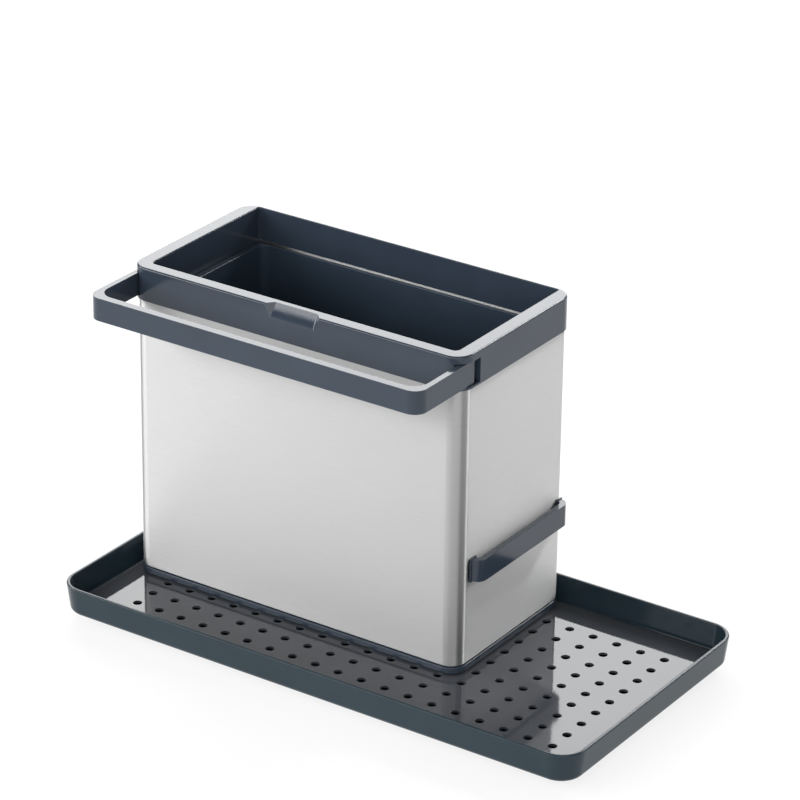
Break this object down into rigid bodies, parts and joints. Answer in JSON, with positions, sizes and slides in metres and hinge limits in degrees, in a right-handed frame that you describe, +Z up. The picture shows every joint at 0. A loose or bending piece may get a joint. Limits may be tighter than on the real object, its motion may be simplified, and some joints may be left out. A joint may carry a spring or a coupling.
{
  "type": "sink organizer",
  "caption": "Kitchen sink caddy with a brushed steel body, a removable liner and a slide-in towel rail, standing on a perforated plate in a drip tray.",
  "frame": {"origin": "under the middle of the drip tray, on the surface that its feet stand on", "axes": "+Z up, +X to the right along the tray's length, -Y towards the front, where the towel rail is"},
  "size_m": [0.2884, 0.1486, 0.1683],
  "materials": {
    "anthracite_gloss": "gloss anthracite moulded plastic",
    "anthracite_liner": "satin anthracite moulded plastic",
    "plate_gloss": "mirror gloss anthracite",
    "brushed_steel": "brushed stainless steel",
    "grey_silicone": "matt silicone"
  },
  "bodies": {
    "tray": {"drip_tray": "anthracite_gloss", "tray_foot_1": "grey_silicone", "tray_foot_2": "grey_silicone", "tray_foot_3": "grey_silicone", "tray_foot_4": "grey_silicone"},
    "plate": {"drip_plate": "plate_gloss"},
    "caddy": {"caddy_base": "anthracite_gloss", "base_pad_1": "grey_silicone", "base_pad_2": "grey_silicone", "base_pad_3": "grey_silicone", "base_pad_4": "grey_silicone", "steel_sleeve": "brushed_steel", "rim_collar": "anthracite_gloss", "side_bar": "anthracite_gloss"},
    "liner": {"liner": "anthracite_liner"},
    "rail": {"towel_rail": "anthracite_gloss"}
  },
  "joints": [
    {"name": "plate_lift", "type": "slide", "parent": "tray", "child": "plate", "axis": [0, 0, 1], "range_m": [0, 0.06]},
    {"name": "caddy_lift", "type": "slide", "parent": "plate", "child": "caddy", "axis": [0, 0, 1], "range_m": [0, 0.1]},
    {"name": "liner_lift", "type": "slide", "parent": "caddy", "child": "liner", "axis": [0, 0, 1], "range_m": [0, 0.165]},
    {"name": "rail_slide", "type": "slide", "parent": "caddy", "child": "rail", "axis": [0, -1, 0], "range_m": [0, 0.066]}
  ]
}
